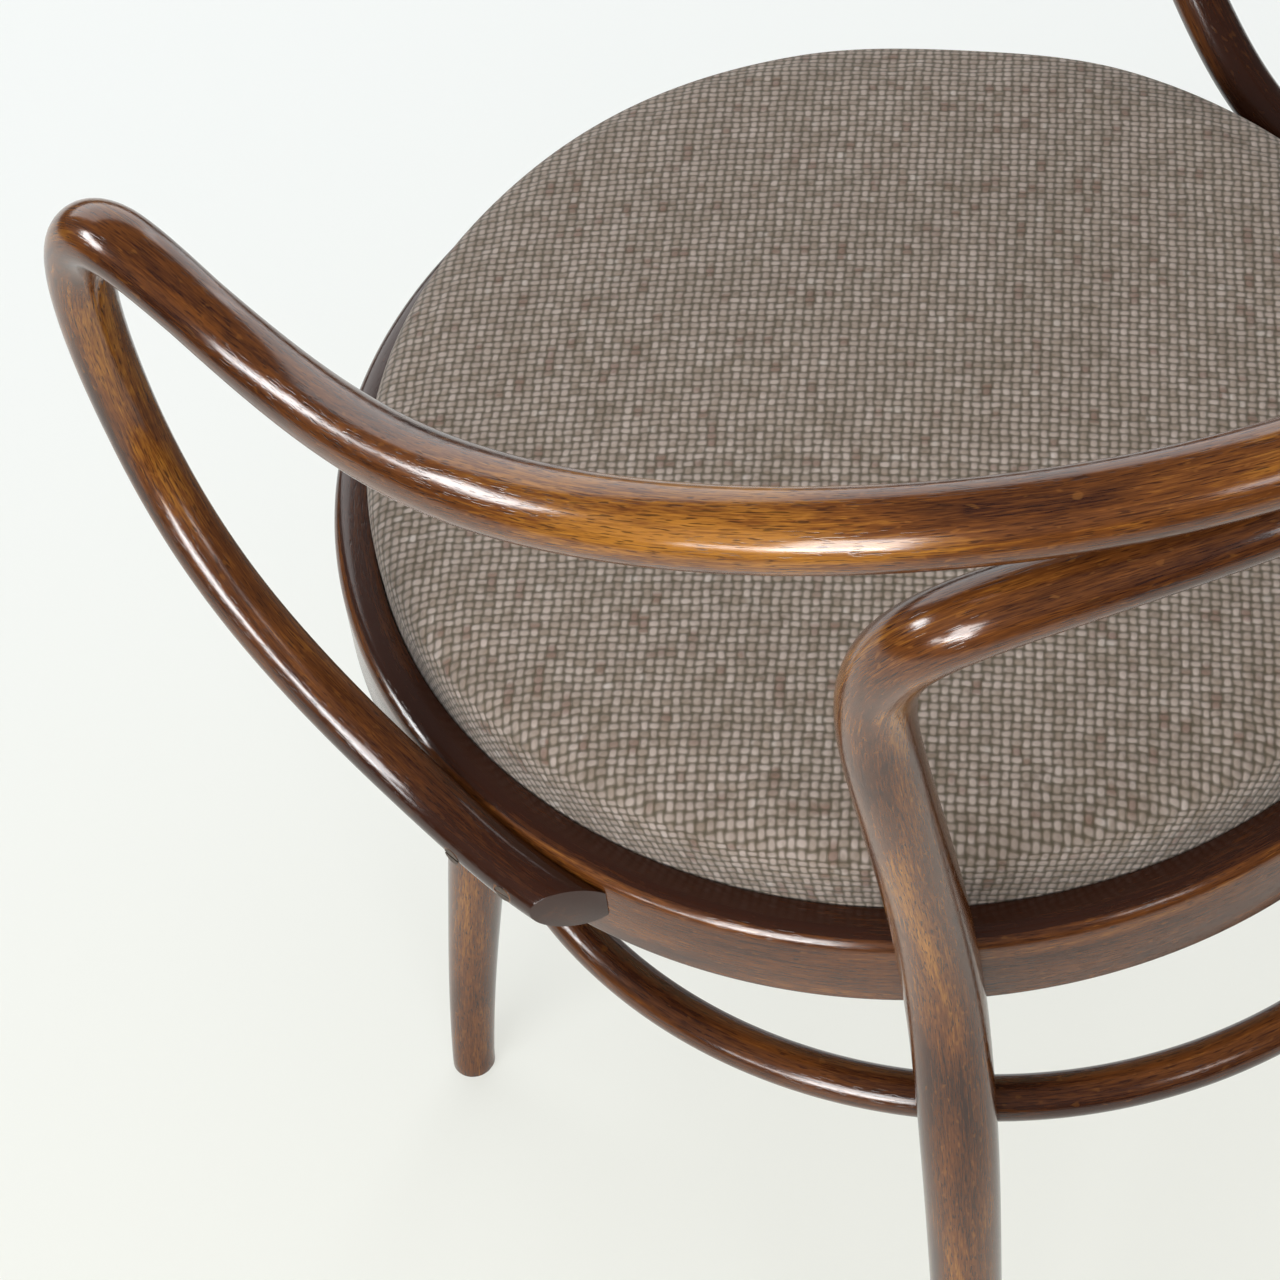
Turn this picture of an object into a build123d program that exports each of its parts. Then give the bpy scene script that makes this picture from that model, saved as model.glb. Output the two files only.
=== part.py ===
# Bentwood armchair: two bent rods, a round seat ring with a dropped-in pad, front legs and a hoop.
# Millimetres. +Z is up, the front faces -Y, and the origin lies on the floor under the middle of the box.
import os
from math import atan2, cos, degrees, radians, sin

from build123d import *

# Seat ring
seat_height = 450.0
ring_diameter = 442.0
ring_height = 36.0
ring_width = 42.0
rim_width = 15.5
rebate_depth = 12.0
rim_round = 4.0
ring_edge_round = 2.0

# Seat pad
board_thickness = 9.0
cover_thickness = 1.6
pad_clearance = 0.4
pad_overhang = 2.0
pad_side_rise = 14.0
pad_rim_rise = 30.0
pad_rim_inset = 17.0
pad_crown_rise = 42.0
hem_width = 37.0

# Lower hoop, set back from the seat's centre
hoop_diameter = 396.0
hoop_rod = 17.0
hoop_setback = 37.0
hoop_height = 354.0
hoop_let_in = 4.0

# Top rail: the back, the arms and the loops, as places measured from the seat's centre
back_reach = 283.0
back_height = 740.0
back_corner_half = 197.0
back_corner_reach = 198.5
arm_half = 249.0
arm_reach = 71.5
arm_height = 702.0
arm_front_half = 248.5
arm_front_reach = -60.5
arm_front_height = 683.5
bend_half = 250.5
bend_reach = -96.0
bend_height = 690.0
loop_half = 244.5
loop_reach = -130.0
loop_height = 575.0
loop_low_half = 243.5
loop_low_reach = -94.0
loop_low_height = 514.0
landing_angle = -1.5
landing_drop = 6.0
tail_angle = 14.5
tail_drop = 14.0
tail_bevel = 24.0
rail_back_diameter = 24.0
rail_arm_diameter = 24.5
rail_front_diameter = 22.0
rail_bend_diameter = 23.5
rail_loop_diameter = 20.4
rail_tail_diameter = 21.0

# Rear leg bow: the lower back rail and both rear legs
touch_run = 96.0
shoulder_half = 168.5
shoulder_reach = 226.5
shoulder_height = 713.0
elbow_half = 192.0
elbow_reach = 209.0
elbow_height = 704.5
leg_top_half = 198.5
leg_top_reach = 181.0
leg_top_height = 659.0
upper_leg_half = 189.5
upper_leg_reach = 173.0
upper_leg_height = 599.0
rear_leg_angle = 46.0
rear_hoop_angle = 40.0
rear_foot_radius = 256.0
rear_foot_angle = 47.5
lower_rail_diameter = 19.0
shoulder_diameter = 23.0
elbow_diameter = 24.0
upper_leg_diameter = 25.4
rear_leg_diameter = 28.2
rear_foot_diameter = 23.0

# Front legs
front_leg_inset = 25.0
front_leg_angle = -46.5
front_hoop_angle = -53.0
knee_radius = 204.0
knee_angle = -51.0
knee_height = 150.0
front_foot_radius = 222.5
front_foot_angle = -49.5
front_leg_diameter = 29.0
knee_diameter = 25.5
front_foot_diameter = 20.0
tenon_diameter = 18.0
tenon_length = 18.0
tenon_clearance = 0.2

# Seating of the rods
seat_flat = 2.0
glue_gap = 0.2
rod_gap = 0.4

# Wood screws and staples
screw_head_diameter = 7.0
screw_head_rim = 0.2
screw_shank_diameter = 3.6
screw_tip_length = 5.0
screw_slot_width = 1.0
screw_slot_depth = 1.2
screw_clearance = 0.1
screw_sink = 0.3
arm_screw_length = 32.0
arm_screw_angles = (0.5, 6.5)
leg_screw_length = 56.0
hoop_screw_length = 25.0
back_screw_length = 30.0
back_screw_run = 70.0
seat_screw_length = 29.0
seat_screw_count = 4
staple_count = 18
staple_crown = 10.0
staple_wire = 0.9
staple_leg = 6.5
staple_clearance = 0.1
staple_inset = 6.0

# Sections along each lofted rod
rail_sections = 56
bow_sections = 60
leg_sections = 16

ring_radius = ring_diameter / 2
ring_inner_radius = ring_radius - ring_width
ring_bottom = seat_height - ring_height
ring_middle = seat_height - ring_height / 2
rebate_radius = ring_radius - rim_width
ledge_height = seat_height - rebate_depth
rail_back_end = back_reach + rail_back_diameter / 2
seat_y = (ring_radius - rail_back_end) / 2
seat_axis = Axis((0, seat_y, 0), (0, 0, 1))
hoop_y = seat_y + hoop_setback


def at(half, reach, height):
    """A place given by its distance from the middle plane, behind the seat's centre and above the floor."""
    return Vector(half, seat_y + reach, height)


def around_seat(radius, angle, height):
    """A place on a circle about the seat's axis, the angle measured from +X."""
    return at(radius * cos(radians(angle)), radius * sin(radians(angle)), height)


def around_hoop(radius, angle):
    """A place on a circle about the hoop's axis, at the hoop's height."""
    return at(radius * cos(radians(angle)), hoop_setback + radius * sin(radians(angle)), hoop_height)


def run_fractions(places):
    """How far along the run of straight steps each place lies, from 0 to 1."""
    lengths = [0.0]
    for start, end in zip(places, places[1:]):
        lengths.append(lengths[-1] + (end - start).length)
    return [length / lengths[-1] for length in lengths]


def size_at(t, fractions, sizes):
    """The size between the two nearest given sizes."""
    for i in range(len(fractions) - 1):
        if t <= fractions[i + 1]:
            share = (t - fractions[i]) / (fractions[i + 1] - fractions[i])
            return sizes[i] + share * (sizes[i + 1] - sizes[i])
    return sizes[-1]


def rod_sections(path, start, count, places, sizes, end_normal=None):
    """Planes square to the path with the rod's radius on each, turned as little as possible between them."""
    sections = []
    fractions = run_fractions(places)
    x_dir = Vector(0, 1, 0)
    for i in range(count):
        share = i / (count - 1)
        t = start + (1 - start) * share
        normal = path % t
        if end_normal and i == count - 1:
            normal = Vector(*end_normal)
        x_dir = (x_dir - normal * x_dir.dot(normal)).normalized()
        radius = size_at(share, fractions, sizes) / 2
        sections.append((Plane(origin=path @ t, x_dir=x_dir, z_dir=normal), radius))
    return sections


def whole_run(half_places):
    """The places of a whole rod, given those from its middle to one end."""
    return [Vector(-place.X, place.Y, place.Z) for place in half_places[:0:-1]] + half_places


def pointing(place, direction):
    """Where a screw sits: its head at the place, its point along the direction."""
    return Plane(origin=place, z_dir=direction).location


def both_sides(places):
    """The places and their mirror images in the middle plane."""
    return [(p, d) for p, d in places] + [(Vector(-p.X, p.Y, p.Z), Vector(-d.X, d.Y, d.Z)) for p, d in places]


# Route of the top rail, from the middle of the back to the end of the left loop
tail_radius = ring_radius + rail_tail_diameter / 2 - seat_flat
landing = around_seat(tail_radius, landing_angle, seat_height - landing_drop)
tail_middle_angle = (landing_angle + tail_angle) / 2
tail_middle = around_seat(tail_radius, tail_middle_angle, seat_height - (landing_drop + tail_drop) / 2)
tail_end = around_seat(tail_radius, tail_angle, seat_height - tail_drop)
tail_over = around_seat(tail_radius, 2 * tail_angle - tail_middle_angle, seat_height - tail_drop)
rail_places = [
    at(0, back_reach, back_height),
    at(back_corner_half, back_corner_reach, back_height),
    at(arm_half, arm_reach, arm_height),
    at(arm_front_half, arm_front_reach, arm_front_height),
    at(bend_half, bend_reach, bend_height),
    at(loop_half, loop_reach, loop_height),
    at(loop_low_half, loop_low_reach, loop_low_height),
    landing,
    tail_middle,
    tail_end,
    tail_over,
]
rail_sizes = [
    rail_back_diameter,
    rail_back_diameter,
    rail_arm_diameter,
    rail_front_diameter,
    rail_bend_diameter,
    rail_loop_diameter,
    rail_loop_diameter,
    rail_tail_diameter,
    rail_tail_diameter,
    rail_tail_diameter,
    rail_tail_diameter,
]
with BuildLine() as rail_route:
    Spline(*whole_run(rail_places))
rail_path = rail_route.edge()


def along_back(run):
    """The place on the top rail at a run from the middle of the back."""
    return rail_path @ (0.5 + run / rail_path.length)


# Route of the rear leg bow, from the middle of the back to the left rear foot
lower_rail_drop = (rail_back_diameter + lower_rail_diameter) / 2 + rod_gap
touch_places = [along_back(touch_run * share) for share in (0, 1 / 3, 2 / 3, 1)]
rear_seat_radius = ring_radius + rear_leg_diameter / 2 - seat_flat
rear_hoop_radius = (hoop_diameter + hoop_rod + rear_leg_diameter) / 2 - hoop_let_in
rear_hoop_place = around_hoop(rear_hoop_radius, rear_hoop_angle)
rear_foot = around_seat(rear_foot_radius, rear_foot_angle, 0)
bow_places = [place - Vector(0, 0, lower_rail_drop) for place in touch_places] + [
    at(shoulder_half, shoulder_reach, shoulder_height),
    at(elbow_half, elbow_reach, elbow_height),
    at(leg_top_half, leg_top_reach, leg_top_height),
    at(upper_leg_half, upper_leg_reach, upper_leg_height),
    around_seat(rear_seat_radius, rear_leg_angle, ring_middle),
    rear_hoop_place,
    (rear_hoop_place * 2 + rear_foot) / 3,
    (rear_hoop_place + rear_foot * 2) / 3,
    rear_foot,
]
bow_sizes = [
    lower_rail_diameter,
    lower_rail_diameter,
    lower_rail_diameter,
    lower_rail_diameter,
    shoulder_diameter,
    elbow_diameter,
    elbow_diameter,
    upper_leg_diameter,
    rear_leg_diameter,
    rear_leg_diameter,
    (2 * rear_leg_diameter + rear_foot_diameter) / 3,
    (rear_leg_diameter + 2 * rear_foot_diameter) / 3,
    rear_foot_diameter,
]
with BuildLine() as bow_route:
    Spline(*whole_run(bow_places))
bow_path = bow_route.edge()

# Route of the left front leg, from the ring's underside to the foot
front_seat_radius = ring_radius - front_leg_inset
front_hoop_radius = (hoop_diameter + hoop_rod + front_leg_diameter) / 2 - hoop_let_in
front_top = around_seat(front_seat_radius, front_leg_angle, ring_bottom)
front_places = [
    front_top,
    around_hoop(front_hoop_radius, front_hoop_angle),
    around_seat(knee_radius, knee_angle, knee_height),
    around_seat(front_foot_radius, front_foot_angle, 0),
]
front_sizes = [front_leg_diameter, front_leg_diameter, knee_diameter, front_foot_diameter]
with BuildLine() as front_route:
    Spline(*front_places)
front_path = front_route.edge()


def outward(angle):
    """Level direction away from an axis."""
    return Vector(cos(radians(angle)), sin(radians(angle)), 0)


# Places of the screws, each with the way its point looks
tail_outer = tail_radius + rail_tail_diameter / 2 - screw_sink
tail_screw_height = seat_height - (landing_drop + tail_drop) / 2
arm_screw_places = both_sides(
    [(around_seat(tail_outer, angle, tail_screw_height), -outward(angle)) for angle in arm_screw_angles]
)
leg_screw_places = both_sides(
    [(around_seat(ring_inner_radius + screw_sink, rear_leg_angle, ring_middle), outward(rear_leg_angle))]
)
hoop_inner = (hoop_diameter - hoop_rod) / 2 + screw_sink
hoop_screw_places = both_sides(
    [(around_hoop(hoop_inner, angle), outward(angle)) for angle in (rear_hoop_angle, front_hoop_angle)]
)
back_screw_path = [along_back(0), along_back(back_screw_run)]
back_screw_drop = Vector(0, 0, lower_rail_drop + lower_rail_diameter / 2 - screw_sink)
back_screw_middle = (back_screw_path[0] - back_screw_drop, Vector(0, 0, 1))
back_screw_places = [back_screw_middle] + both_sides([(back_screw_path[1] - back_screw_drop, Vector(0, 0, 1))])
seat_screw_radius = (ring_inner_radius + rebate_radius) / 2
seat_screw_places = [
    (around_seat(seat_screw_radius, i * 360 / seat_screw_count, ring_bottom + screw_sink), Vector(0, 0, 1))
    for i in range(seat_screw_count)
]


def screw_solid(length, extra=0.0, slotted=True):
    """A countersunk wood screw with its head at the origin and its point along +Z, or the hole for it."""
    head = screw_head_diameter / 2 + extra
    shank = screw_shank_diameter / 2 + extra
    head_height = (screw_head_diameter - screw_shank_diameter) / 2
    mouth = -2 * screw_sink - screw_head_diameter if extra else 0.0
    with BuildPart() as screw:
        with BuildSketch(Plane.XZ):
            with BuildLine():
                Polyline(
                    (0, mouth),
                    (head, mouth),
                    (head, screw_head_rim),
                    (shank, head_height + screw_head_rim),
                    (shank, length - screw_tip_length),
                    (0, length + extra),
                    close=True,
                )
            make_face()
        revolve(axis=Axis.Z)
        if slotted:
            with BuildSketch(Plane.XY):
                Rectangle(2 * head, screw_slot_width)
            extrude(amount=screw_slot_depth, mode=Mode.SUBTRACT)
    return screw.part


def screw_group(places, length):
    """The screws of one kind, as separate solids."""
    screw = screw_solid(length)
    with BuildPart() as group:
        with Locations(*[pointing(place, direction) for place, direction in places]):
            add(screw)
    return group.part


def drill(places, length):
    """Cut the screws' holes from the part being built."""
    hole = screw_solid(length, screw_clearance, False)
    with Locations(*[pointing(place, direction) for place, direction in places]):
        add(hole, mode=Mode.SUBTRACT)


# Shallow seat where a rod lies against the ring's outer face
with BuildPart() as ring_seat:
    with BuildSketch(Plane.XY.offset(ring_bottom - glue_gap)):
        with Locations((0, seat_y)):
            Circle(ring_radius + glue_gap)
    extrude(amount=ring_height + 2 * glue_gap)

# Notch that the hoop is let into
with BuildPart() as hoop_seat:
    with Locations((0, hoop_y, hoop_height)):
        Torus(hoop_diameter / 2, hoop_rod / 2 + glue_gap)

# Top rail
with BuildPart() as top_rail:
    for plane, radius in rod_sections(rail_path, 0.5, rail_sections, rail_places, rail_sizes):
        with BuildSketch(plane):
            Circle(radius)
    loft()
    add(ring_seat.part, mode=Mode.SUBTRACT)
    # Slanted cut that brings the loop's end down to the ring
    bevel_start = around_seat(ring_radius, tail_angle, 0)
    bevel_turn = degrees(atan2(rail_tail_diameter, tail_bevel))
    bevel_direction = outward(tail_angle - 90 + bevel_turn)
    bevel_plane = Plane(origin=bevel_start, x_dir=bevel_direction, z_dir=(0, 0, 1))
    with BuildSketch(bevel_plane):
        with Locations((0, 2 * tail_bevel)):
            Rectangle(6 * tail_bevel, 4 * tail_bevel)
    extrude(amount=seat_height + rail_tail_diameter, mode=Mode.SUBTRACT)
    mirror(about=Plane.YZ)
    drill(arm_screw_places, arm_screw_length)
    drill(back_screw_places, back_screw_length)

# Rear leg bow
with BuildPart() as rear_leg_bow:
    for plane, radius in rod_sections(bow_path, 0.5, bow_sections, bow_places, bow_sizes, (0, 0, -1)):
        with BuildSketch(plane):
            Circle(radius)
    loft()
    add(ring_seat.part, mode=Mode.SUBTRACT)
    add(hoop_seat.part, mode=Mode.SUBTRACT)
    mirror(about=Plane.YZ)
    drill(leg_screw_places, leg_screw_length)
    drill(hoop_screw_places, hoop_screw_length)
    drill(back_screw_places, back_screw_length)

# Front legs: the left one is built, the right one is its mirror image
with BuildPart() as front_leg_left:
    for plane, radius in rod_sections(front_path, 0, leg_sections, front_places, front_sizes, (0, 0, -1)):
        if plane.origin == front_top:
            plane = Plane(origin=front_top, z_dir=(0, 0, -1))
        with BuildSketch(plane):
            Circle(radius)
    loft()
    with BuildSketch(Plane.XY.offset(ring_bottom)):
        with Locations((front_top.X, front_top.Y)):
            Circle(tenon_diameter / 2)
    extrude(amount=tenon_length)
    add(hoop_seat.part, mode=Mode.SUBTRACT)
    drill(hoop_screw_places, hoop_screw_length)

with BuildPart() as front_leg_right:
    add(front_leg_left.part)
    mirror(about=Plane.YZ, mode=Mode.REPLACE)

# Seat ring with its rebate, tenon sockets and screw holes
with BuildPart() as seat_ring:
    with BuildSketch(Plane.XZ.offset(-seat_y)) as ring_profile:
        with BuildLine():
            Polyline(
                (ring_inner_radius, ring_bottom),
                (ring_radius, ring_bottom),
                (ring_radius, seat_height),
                (rebate_radius, seat_height),
                (rebate_radius, ledge_height),
                (ring_inner_radius, ledge_height),
                close=True,
            )
        make_face()
        outer_corners = ring_profile.vertices().filter_by_position(Axis.X, ring_radius - 1, ring_radius + 1)
        fillet(outer_corners.sort_by(Axis.Z)[-1:], rim_round)
        fillet(outer_corners.sort_by(Axis.Z)[:1], ring_edge_round)
    revolve(axis=seat_axis)
    with BuildSketch(Plane.XY.offset(ring_bottom)):
        with Locations((front_top.X, front_top.Y), (-front_top.X, front_top.Y)):
            Circle(tenon_diameter / 2 + tenon_clearance)
    extrude(amount=tenon_length + tenon_clearance, mode=Mode.SUBTRACT)
    drill(arm_screw_places, arm_screw_length)
    drill(leg_screw_places, leg_screw_length)
    drill(seat_screw_places, seat_screw_length)

# Lower hoop, a rod whose ends meet in a glued butt joint at the back
hoop_joint_turn = degrees(glue_gap / (hoop_diameter / 2))
with BuildPart() as lower_hoop:
    with BuildSketch(Plane.YZ):
        with Locations((hoop_y + hoop_diameter / 2, hoop_height)):
            Circle(hoop_rod / 2)
    revolve(axis=Axis((0, hoop_y, 0), (0, 0, 1)), revolution_arc=360 - hoop_joint_turn)
    drill(hoop_screw_places, hoop_screw_length)

# Levels and radii of the pad
cover_radius = rebate_radius - pad_clearance
board_radius = cover_radius - cover_thickness
board_bottom = ledge_height + cover_thickness
board_top = board_bottom + board_thickness
hem_radius = cover_radius - hem_width
staple_radius = hem_radius + staple_inset


def pad_outline(side_radius, inset):
    """The pad's crown, rounded rim and drawn-in side as three arcs, ending at the ring's top."""
    rim_height = seat_height + pad_rim_rise - inset
    rim_radius = side_radius - pad_rim_inset
    crown_height = seat_height + pad_crown_rise - inset
    side_height = seat_height + pad_side_rise
    full_radius = side_radius + pad_overhang
    crown = (0, crown_height)
    crown_middle = (rim_radius / 2, crown_height - (crown_height - rim_height) / 4)
    rim = (rim_radius, rim_height)
    rim_turn = radians(45)
    shoulder_out = (full_radius - rim_radius) * sin(rim_turn)
    shoulder_up = (rim_height - side_height) * cos(rim_turn)
    shoulder = (rim_radius + shoulder_out, side_height + shoulder_up)
    side = (full_radius, side_height)
    side_middle = (side_radius + pad_overhang * 3 / 4, seat_height + pad_side_rise / 2)
    ThreePointArc(crown, crown_middle, rim)
    ThreePointArc(rim, shoulder, side)
    ThreePointArc(side, side_middle, (side_radius, seat_height))


# Seat board
with BuildPart() as seat_board:
    with BuildSketch(Plane.XY.offset(board_bottom)):
        with Locations((0, seat_y)):
            Circle(board_radius)
    extrude(amount=board_thickness)
    drill(seat_screw_places, seat_screw_length)

# Foam with its crown and drawn-in side
with BuildPart() as seat_foam:
    with BuildSketch(Plane.XZ.offset(-seat_y)):
        with BuildLine():
            pad_outline(board_radius, cover_thickness)
            Polyline(
                (board_radius, seat_height),
                (board_radius, board_top),
                (0, board_top),
                (0, seat_height + pad_crown_rise - cover_thickness),
            )
        make_face()
    revolve(axis=seat_axis)

# Woven cover, drawn over the foam, down the board's edge and under it
with BuildPart() as seat_cover:
    with BuildSketch(Plane.XZ.offset(-seat_y)):
        with BuildLine():
            pad_outline(cover_radius, 0.0)
            Polyline(
                (cover_radius, seat_height),
                (cover_radius, ledge_height),
                (hem_radius, ledge_height),
                (hem_radius, board_bottom),
                (board_radius, board_bottom),
                (board_radius, seat_height),
            )
            pad_outline(board_radius, cover_thickness)
            Line((0, seat_height + pad_crown_rise - cover_thickness), (0, seat_height + pad_crown_rise))
        make_face()
    revolve(axis=seat_axis)
    drill(seat_screw_places, seat_screw_length)


def staple_body(extra=0.0):
    """A staple with its crown below the hem and its legs up, or the slots for its legs."""
    wire = staple_wire + 2 * extra
    with BuildPart() as staple:
        with BuildSketch(Plane.XY):
            with GridLocations(staple_crown - staple_wire, 0, 2, 1):
                Rectangle(wire, wire)
        extrude(amount=staple_leg + extra)
        if not extra:
            with BuildSketch(Plane.XY.offset(-staple_wire)):
                Rectangle(staple_crown, staple_wire)
            extrude(amount=staple_wire)
    return staple.part


def place_staples(body, mode):
    """Set the staples in a ring inside the ledge, their crowns along the ring."""
    with Locations((0, seat_y, ledge_height)):
        with PolarLocations(staple_radius, staple_count, start_angle=180 / staple_count):
            add(body.rotate(Axis.Z, 90), mode=mode)


with BuildPart() as cover_staples:
    place_staples(staple_body(), Mode.ADD)

with seat_cover:
    place_staples(staple_body(staple_clearance), Mode.SUBTRACT)

with seat_board:
    place_staples(staple_body(staple_clearance), Mode.SUBTRACT)

pieces = {
    "top_rail": top_rail.part,
    "rear_leg_bow": rear_leg_bow.part,
    "seat_ring": seat_ring.part,
    "front_leg_left": front_leg_left.part,
    "front_leg_right": front_leg_right.part,
    "lower_hoop": lower_hoop.part,
    "seat_board": seat_board.part,
    "seat_foam": seat_foam.part,
    "seat_cover": seat_cover.part,
    "cover_staples": cover_staples.part,
    "arm_screws": screw_group(arm_screw_places, arm_screw_length),
    "rear_leg_screws": screw_group(leg_screw_places, leg_screw_length),
    "hoop_screws": screw_group(hoop_screw_places, hoop_screw_length),
    "back_rail_screws": screw_group(back_screw_places, back_screw_length),
    "seat_screws": screw_group(seat_screw_places, seat_screw_length),
}

os.makedirs("parts", exist_ok=True)
for name, piece in pieces.items():
    piece.label = name
    export_step(piece, f"parts/{name}.step")
    print(name, len(piece.solids()), "solids", round(piece.volume), "mm3")
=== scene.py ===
# %% [markdown]
# A bentwood armchair: two long bent rods, a round seat ring with a woven pad, two front legs and a
# hoop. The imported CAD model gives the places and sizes. This lesson dresses it: the rods are swept
# again so that the wood grain can follow every bend, the pad is puffed up by a cloth simulation, and
# every surface gets a material made of nodes.

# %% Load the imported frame
from math import atan2, cos, pi, radians, sin

import bmesh
import bpy
import numpy as np
from mathutils import Matrix, Vector


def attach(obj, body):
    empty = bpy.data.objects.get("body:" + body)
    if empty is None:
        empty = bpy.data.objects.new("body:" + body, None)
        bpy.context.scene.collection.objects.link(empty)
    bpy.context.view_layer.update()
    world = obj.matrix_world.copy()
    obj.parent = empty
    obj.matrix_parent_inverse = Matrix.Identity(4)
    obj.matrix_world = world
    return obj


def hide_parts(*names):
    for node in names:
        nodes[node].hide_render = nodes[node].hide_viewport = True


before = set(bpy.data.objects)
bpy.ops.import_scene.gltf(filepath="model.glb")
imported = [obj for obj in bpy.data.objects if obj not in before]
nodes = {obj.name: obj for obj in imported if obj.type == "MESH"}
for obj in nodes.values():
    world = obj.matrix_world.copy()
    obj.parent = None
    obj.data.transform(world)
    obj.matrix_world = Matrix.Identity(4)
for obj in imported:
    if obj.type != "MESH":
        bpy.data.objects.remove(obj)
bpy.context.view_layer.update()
print("nodes:", sorted(nodes))

# %% [markdown]
# The sizes below are those of the CAD source, in metres. The seat's centre is the point that the
# other places are measured from, because the ring is what everything else is fastened to.

# %% Sizes shared by several pieces
seat_height = 0.450
ring_radius = 0.221
ring_height = 0.036
ring_width = 0.042
rim_width = 0.0155
rebate_depth = 0.012
hoop_radius = 0.198
hoop_rod = 0.0085
hoop_height = 0.354
glue_gap = 0.0002
ring_let_in, hoop_let_in = 0.002, 0.004
back_rod, back_edge = 0.024, 0.295
hoop_setback = 0.037
seat_y = (ring_radius - back_edge) / 2
hoop_y = seat_y + hoop_setback


def from_seat(half, reach, height):
    """A place measured from the seat's centre, in metres."""
    return np.array((half, seat_y + reach, height))


def round_seat(radius, angle, height):
    """A place on a circle about the seat's axis."""
    return from_seat(radius * cos(radians(angle)), radius * sin(radians(angle)), height)


def round_hoop(radius, angle):
    """A place on a circle about the hoop's axis, at its height."""
    turn = radians(angle)
    return np.array((radius * cos(turn), hoop_y + radius * sin(turn), hoop_height))


print("seat centre y", seat_y, "hoop centre y", hoop_y)

# %% [markdown]
# A rod that was steamed and bent runs in one smooth line through the places where it was clamped.
# A cubic spline does the same. It is solved here with numpy, with its parameter measured along the
# straight steps, because that is how the CAD spline is made, and the two then agree.

# %% A smooth route through the clamped places


def end_slope(params, places):
    """The slope at the first place, from the cubic through the first four."""
    near = params[:4] - params[0]
    return np.array([np.polyfit(near, places[:4, axis], 3)[2] for axis in range(3)])


def smooth_route(places, step):
    """Points a step apart on the cubic spline through the places, and the parameter of each."""
    places = np.array(places)
    gaps = np.linalg.norm(np.diff(places, axis=0), axis=1)
    params = np.concatenate(([0], np.cumsum(gaps)))
    count = len(places)
    system = np.zeros((count, count))
    right = np.zeros((count, 3))
    system[0, 0] = 1
    system[-1, -1] = 1
    right[0] = end_slope(params, places)
    right[-1] = -end_slope(-params[::-1], places[::-1])
    rise = np.diff(places, axis=0) / gaps[:, None]
    for i in range(1, count - 1):
        system[i, i - 1] = gaps[i]
        system[i, i] = 2 * (gaps[i - 1] + gaps[i])
        system[i, i + 1] = gaps[i - 1]
        right[i] = 3 * (gaps[i] * rise[i - 1] + gaps[i - 1] * rise[i])
    slopes = np.linalg.solve(system, right)
    at = np.linspace(0, params[-1], int(params[-1] / step) + 1)
    span = np.clip(np.searchsorted(params, at, side="right") - 1, 0, count - 2)
    width = gaps[span]
    t = ((at - params[span]) / width)[:, None]
    width = width[:, None]
    points = (
        (1 + 2 * t) * (1 - t) ** 2 * places[span]
        + t * (1 - t) ** 2 * width * slopes[span]
        + t * t * (3 - 2 * t) * places[span + 1]
        + t * t * (t - 1) * width * slopes[span + 1]
    )
    return points, at, params


def whole_rod(half):
    """A whole rod's places, from those between its middle and its left end."""
    other = [place * np.array((-1, 1, 1)) for place in half[:0:-1]]
    return other + list(half)


def mirrored(half):
    """A whole rod's values, from those between its middle and its left end."""
    return half[:0:-1] + half


# %% [markdown]
# The rods themselves are a rule: a circle pushed along a route, a little thicker here and thinner
# there. Geometry Nodes do that with Curve to Mesh. On the way the tree also writes down where each
# point lay in the straight rod before it was bent, as an attribute. The wood material reads that
# attribute, so the grain runs along the rod and bends with it, as in real bentwood.

# %% The node tree that bends a rod


def new_tree(name, sockets):
    """A geometry tree with named inputs, and the identifiers of those inputs."""
    tree = bpy.data.node_groups.new(name, "GeometryNodeTree")
    tree.interface.new_socket("Geometry", in_out="INPUT", socket_type="NodeSocketGeometry")
    keys = {}
    for label, kind, value in sockets:
        item = tree.interface.new_socket(label, in_out="INPUT", socket_type=kind)
        if value is not None:
            item.default_value = value
        keys[label] = item.identifier
    tree.interface.new_socket("Geometry", in_out="OUTPUT", socket_type="NodeSocketGeometry")
    return tree, keys


def set_values(node, values):
    """Give inputs of a node their values."""
    for name, value in values.items():
        node.inputs[name].default_value = value


def node_in(tree, kind, values=None, **settings):
    """A node of that kind, with its settings and the values of its inputs."""
    node = tree.nodes.new(kind)
    for name, value in settings.items():
        setattr(node, name, value)
    set_values(node, values or {})
    return node


def add_object(name, content):
    """An object at the origin that holds a mesh, a lens or a lamp."""
    piece = bpy.data.objects.new(name, content)
    bpy.context.scene.collection.objects.link(piece)
    return piece


def apply_modifiers(piece):
    """Make the evaluated shape the piece's own plain mesh."""
    graph = bpy.context.evaluated_depsgraph_get()
    mesh = bpy.data.meshes.new_from_object(
        piece.evaluated_get(graph), preserve_all_data_layers=True, depsgraph=graph
    )
    piece.modifiers.clear()
    piece.data = mesh
    mesh.name = piece.name


def bake(carrier, tree, keys, values):
    """Run the tree on the carrier, with its inputs set by identifier, and keep the result."""
    modifier = carrier.modifiers.new("shape", "NODES")
    modifier.node_group = tree
    for label, value in values.items():
        modifier[keys[label]] = value
    apply_modifiers(carrier)


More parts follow.
